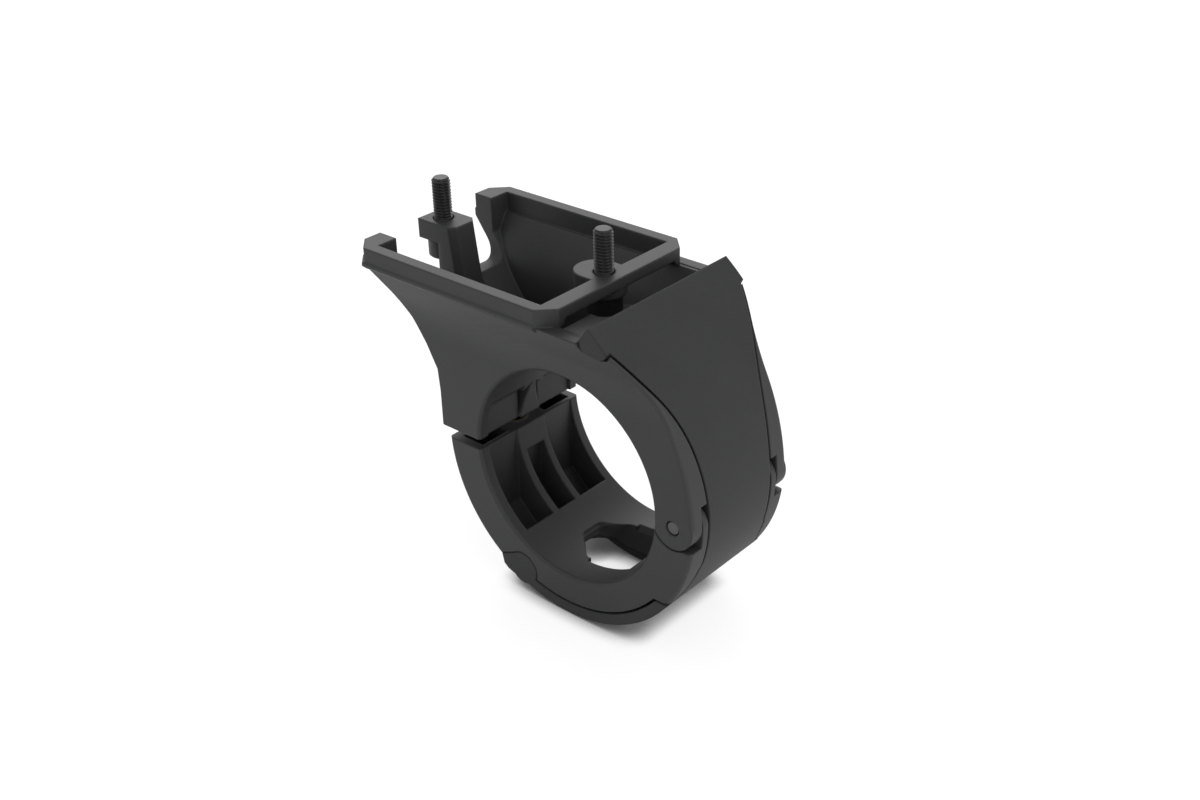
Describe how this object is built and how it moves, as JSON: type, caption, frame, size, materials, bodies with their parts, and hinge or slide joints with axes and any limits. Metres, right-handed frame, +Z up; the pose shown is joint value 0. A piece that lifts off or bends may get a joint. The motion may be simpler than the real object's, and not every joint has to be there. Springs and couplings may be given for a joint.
{
  "type": "e-bike display mount",
  "caption": "Hinged plastic handlebar clamp with a flared tray and rim that carries an e-bike display on screws, and a clip-on front cover over the cable way.",
  "frame": {"origin": "centre of the handlebar bore, midway between the two side faces", "axes": "+X along the handlebar, -Y to the front cover, +Z up to the display seat"},
  "size_m": [0.0328, 0.0627, 0.0611],
  "materials": {
    "body_plastic": "fine-grained charcoal glass-filled nylon",
    "clamp_plastic": "fine-grained charcoal glass-filled nylon",
    "cover_plastic": "fine-grained charcoal plastic, slightly smoother",
    "pin_steel": "black oxide steel dowel",
    "screw_steel": "black oxide steel",
    "bolt_steel": "black oxide steel",
    "insert_brass": "dull turned brass"
  },
  "bodies": {
    "upper_body": {"upper_body": "body_plastic", "display_screws": "screw_steel"},
    "lower_clamp": {"lower_clamp": "clamp_plastic", "hinge_pins": "pin_steel", "clamp_insert": "insert_brass"},
    "front_cover": {"front_cover": "cover_plastic"},
    "clamp_bolt": {"clamp_bolt": "bolt_steel"}
  },
  "joints": [
    {"name": "clamp_hinge", "type": "hinge", "parent": "upper_body", "child": "lower_clamp", "pos_m": [0, -0.021, 0], "axis": [-1, 0, 0], "range_deg": [0, 58]},
    {"name": "cover_hinge", "type": "hinge", "parent": "lower_clamp", "child": "front_cover", "pos_m": [0, 0.0142, -0.02], "axis": [1, 0, 0], "range_deg": [0, 145]},
    {"name": "clamp_bolt_slide", "type": "slide", "parent": "upper_body", "child": "clamp_bolt", "axis": [0, 0, -1], "range_m": [0, 0.005]}
  ],
  "couplings": [
    {"joint": "cover_hinge", "follows": "clamp_hinge", "ratio": 2.5}
  ]
}
